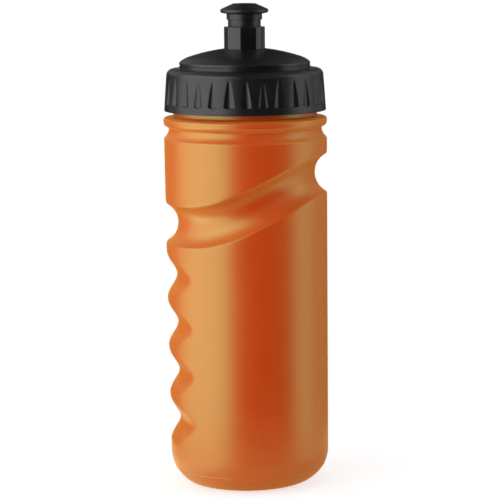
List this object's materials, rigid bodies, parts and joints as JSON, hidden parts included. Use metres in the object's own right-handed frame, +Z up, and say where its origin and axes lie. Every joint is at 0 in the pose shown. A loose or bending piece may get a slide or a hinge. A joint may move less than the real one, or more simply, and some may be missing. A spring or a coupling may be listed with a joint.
{
  "type": "sports squeeze bottle",
  "caption": "Soft squeeze bottle with a swooping grip groove and finger dents, a fluted screw lid with a low dome, and a push-pull mouthpiece on a short tube.",
  "frame": {"origin": "centre of the standing ring under the base", "axes": "+Z up along the bottle's axis, -X towards the finger dents, so the groove is low at -X and high at +X"},
  "size_m": [0.066, 0.066, 0.1951],
  "materials": {
    "orange_polyethylene": "satin blow-moulded polyethylene",
    "pale_seal_rubber": "plain flat washer",
    "matt_black_lid": "matt moulded top with a satin skirt",
    "glossy_black_tube": "polished",
    "satin_black_mouthpiece": "soft satin"
  },
  "bodies": {
    "bottle": {"bottle_body": "orange_polyethylene"},
    "washer": {"lid_gasket": "pale_seal_rubber"},
    "lid": {"screw_lid": "matt_black_lid", "spout_tube": "glossy_black_tube"},
    "mouthpiece": {"mouthpiece": "satin_black_mouthpiece"}
  },
  "joints": [
    {"name": "lid_rise", "type": "slide", "parent": "bottle", "child": "washer", "axis": [0, 0, 1], "range_m": [0, 0.0151]},
    {"name": "lid_turn", "type": "hinge", "parent": "washer", "child": "lid", "pos_m": [0, 0, 0.1673], "axis": [0, 0, 1], "range_deg": [0, 1080]},
    {"name": "mouthpiece_slide", "type": "slide", "parent": "lid", "child": "mouthpiece", "axis": [0, 0, 1], "range_m": [-0.0024, 0]}
  ],
  "couplings": [
    {"joint": "lid_rise", "follows": "lid_turn", "m_per_rad": 0.00079577}
  ]
}
